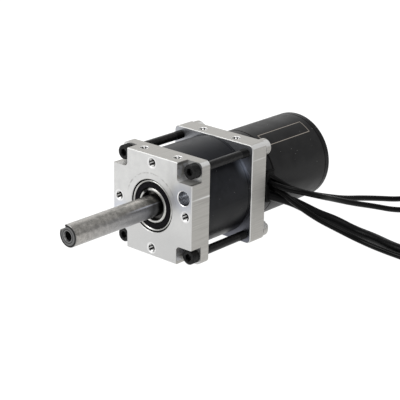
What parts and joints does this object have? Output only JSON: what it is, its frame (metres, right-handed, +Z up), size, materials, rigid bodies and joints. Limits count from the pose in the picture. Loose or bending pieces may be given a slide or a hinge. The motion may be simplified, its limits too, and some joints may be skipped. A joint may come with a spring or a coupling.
{
  "type": "planetary gearmotor",
  "caption": "Brushless outrunner motor on a planetary gearbox with square end plates, corner screws, keyed output shaft and loose leads.",
  "frame": {"origin": "on the axis of the output shaft, in the front face of the gearbox", "axes": "+X along the output shaft, out of the gearbox; +Z up, away from the surface that the end plates stand on; +Y towards the side where the leads come out"},
  "size_m": [0.2762, 0.1923, 0.06],
  "materials": {
    "machined_aluminium": "fine machined",
    "black_barrel": "black satin",
    "black_screws": "black oxide",
    "bearing_steel": "ground and polished",
    "seal_rubber": "moulded",
    "shaft_steel": "ground",
    "gear_steel": "hobbed",
    "black_base": "black anodised",
    "black_can": "black satin",
    "core_steel": "stacked laminations",
    "winding_copper": "enamelled copper wire",
    "circuit_board": "solder mask",
    "chip_plastic": "moulded",
    "magnet": "nickel plated",
    "grommet_rubber": "moulded",
    "lead_sleeve": "matte black insulation",
    "connector_brass": "gold plated",
    "plug_plastic": "moulded"
  },
  "bodies": {
    "housing": {"end_ring": "black_barrel", "front_bearing_balls": "bearing_steel", "front_bearing_cage": "plug_plastic", "front_bearing_outer_race": "bearing_steel", "front_bearing_seal": "seal_rubber", "front_plate": "machined_aluminium", "gearbox_screws": "black_screws", "hall_board": "circuit_board", "hall_sensors": "chip_plastic", "lead_grommet": "grommet_rubber", "motor_base": "black_base", "motor_bearing_outer_races": "bearing_steel", "motor_screws": "black_screws", "phase_connector_a": "connector_brass", "phase_connector_b": "connector_brass", "phase_connector_c": "connector_brass", "phase_lead_a": "lead_sleeve", "phase_lead_b": "lead_sleeve", "phase_lead_c": "lead_sleeve", "rear_bearing_balls": "bearing_steel", "rear_bearing_cage": "plug_plastic", "rear_bearing_outer_race": "bearing_steel", "rear_bearing_seal": "seal_rubber", "rear_plate": "machined_aluminium", "ring_gear_barrel": "black_barrel", "sensor_cable": "lead_sleeve", "sensor_plug": "plug_plastic", "stator_core": "core_steel", "stator_windings": "winding_copper"},
    "rotor": {"sun_pinion": "gear_steel", "pinion_set_screw": "black_screws", "motor_shaft": "shaft_steel", "shaft_circlip": "shaft_steel", "motor_bearing_inner_races": "bearing_steel", "rotor_can": "black_can", "rotor_end_cap": "black_base", "rotor_magnets": "magnet"},
    "first_carrier": {"carrier_1": "gear_steel", "stage_2_sun": "gear_steel", "stage_1_planet_pins": "shaft_steel"},
    "output": {"output_shaft": "shaft_steel", "output_carrier": "gear_steel", "stage_2_planet_pins": "shaft_steel", "front_bearing_inner_race": "bearing_steel", "rear_bearing_inner_race": "bearing_steel"},
    "stage_1_planet_1": {"stage_1_planet_1": "gear_steel"},
    "stage_1_planet_2": {"stage_1_planet_2": "gear_steel"},
    "stage_1_planet_3": {"stage_1_planet_3": "gear_steel"},
    "stage_2_planet_1": {"stage_2_planet_1": "gear_steel"},
    "stage_2_planet_2": {"stage_2_planet_2": "gear_steel"},
    "stage_2_planet_3": {"stage_2_planet_3": "gear_steel"}
  },
  "joints": [
    {"name": "rotor_spin", "type": "hinge", "parent": "housing", "child": "rotor", "pos_m": [-0.1, 0, 0], "axis": [1, 0, 0], "continuous": true},
    {"name": "first_carrier_spin", "type": "hinge", "parent": "housing", "child": "first_carrier", "pos_m": [-0.034, 0, 0], "axis": [1, 0, 0], "continuous": true},
    {"name": "output_spin", "type": "hinge", "parent": "housing", "child": "output", "pos_m": [0, 0, 0], "axis": [1, 0, 0], "continuous": true},
    {"name": "stage_1_planet_1_spin", "type": "hinge", "parent": "first_carrier", "child": "stage_1_planet_1", "pos_m": [-0.041, 0, 0.015], "axis": [1, 0, 0], "continuous": true},
    {"name": "stage_1_planet_2_spin", "type": "hinge", "parent": "first_carrier", "child": "stage_1_planet_2", "pos_m": [-0.041, -0.01299, -0.0075], "axis": [1, 0, 0], "continuous": true},
    {"name": "stage_1_planet_3_spin", "type": "hinge", "parent": "first_carrier", "child": "stage_1_planet_3", "pos_m": [-0.041, 0.01299, -0.0075], "axis": [1, 0, 0], "continuous": true},
    {"name": "stage_2_planet_1_spin", "type": "hinge", "parent": "output", "child": "stage_2_planet_1", "pos_m": [-0.026, 0, 0.015], "axis": [1, 0, 0], "continuous": true},
    {"name": "stage_2_planet_2_spin", "type": "hinge", "parent": "output", "child": "stage_2_planet_2", "pos_m": [-0.026, -0.01299, -0.0075], "axis": [1, 0, 0], "continuous": true},
    {"name": "stage_2_planet_3_spin", "type": "hinge", "parent": "output", "child": "stage_2_planet_3", "pos_m": [-0.026, 0.01299, -0.0075], "axis": [1, 0, 0], "continuous": true}
  ],
  "couplings": [
    {"joint": "first_carrier_spin", "follows": "rotor_spin", "ratio": 0.25},
    {"joint": "output_spin", "follows": "rotor_spin", "ratio": 0.0625},
    {"joint": "stage_1_planet_1_spin", "follows": "rotor_spin", "ratio": -0.75},
    {"joint": "stage_1_planet_2_spin", "follows": "rotor_spin", "ratio": -0.75},
    {"joint": "stage_1_planet_3_spin", "follows": "rotor_spin", "ratio": -0.75},
    {"joint": "stage_2_planet_1_spin", "follows": "rotor_spin", "ratio": -0.1875},
    {"joint": "stage_2_planet_2_spin", "follows": "rotor_spin", "ratio": -0.1875},
    {"joint": "stage_2_planet_3_spin", "follows": "rotor_spin", "ratio": -0.1875}
  ]
}
